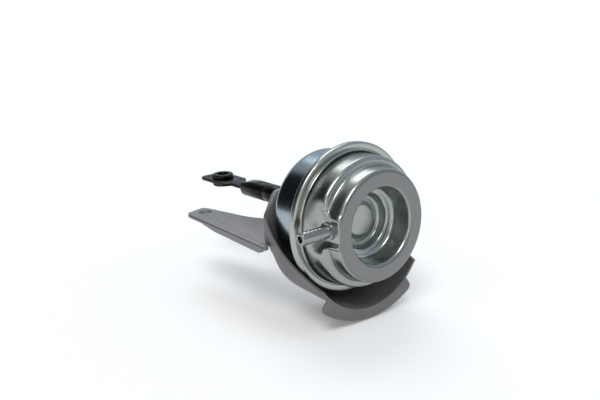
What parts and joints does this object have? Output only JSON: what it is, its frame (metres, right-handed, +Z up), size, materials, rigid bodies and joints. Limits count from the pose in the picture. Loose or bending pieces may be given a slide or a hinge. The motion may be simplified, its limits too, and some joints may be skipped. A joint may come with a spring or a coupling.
{
  "type": "turbocharger vacuum actuator",
  "caption": "Vacuum actuator for a turbocharger: crimped diaphragm can in a heat shield, with a side nipple, a bracket arm and a sliding rod that ends in a flat eye.",
  "frame": {"origin": "centre of the rod eye's bore with the rod at rest", "axes": "+X along the rod towards the can, +Z up along the eye's bore, the vacuum nipple points to -Y"},
  "size_m": [0.1309, 0.0737, 0.0782],
  "materials": {
    "cover_zinc": "satin zinc plate, faintly greenish",
    "shell_zinc": "glossy blue-passivated zinc plate",
    "nipple_steel": "turned and plated steel",
    "diaphragm_rubber": "matt moulded rubber",
    "pressed_steel": "pressed steel, plated",
    "spring_steel": "drawn spring wire",
    "rod_steel": "ground steel rod",
    "bush_plastic": "black bearing plastic",
    "fastener_zinc": "zinc-plated fasteners",
    "bracket_steel": "matt grey coated steel plate",
    "shield_steel": "matt grey-brown heat-proof coating",
    "black_steel": "black oxide, lightly oiled"
  },
  "bodies": {
    "housing": {"front_cover": "cover_zinc", "rear_shell": "shell_zinc", "vacuum_nipple": "nipple_steel", "diaphragm": "diaphragm_rubber", "return_spring": "spring_steel", "spring_seat": "pressed_steel", "guide_bush": "bush_plastic", "dust_seal": "diaphragm_rubber", "seal_retainer": "pressed_steel", "mounting_studs": "fastener_zinc", "stud_washers": "fastener_zinc", "stud_nuts": "fastener_zinc", "mounting_bracket": "bracket_steel", "bracket_plate": "bracket_steel", "heat_shield": "shield_steel"},
    "rod": {"actuator_rod": "rod_steel", "piston_cup": "pressed_steel", "diaphragm_retainer": "pressed_steel", "rivet_washer": "pressed_steel", "lock_nut": "black_steel", "adjuster_nut": "black_steel", "adjuster_sleeve": "black_steel", "rod_end": "black_steel", "eye_bush": "black_steel"}
  },
  "joints": [
    {"name": "rod_slide", "type": "slide", "parent": "housing", "child": "rod", "axis": [1, 0, 0], "range_m": [0, 0.012], "stiffness_N_per_m": 6500, "springref_m": -0.004, "deforming": ["diaphragm", "return_spring"]}
  ]
}
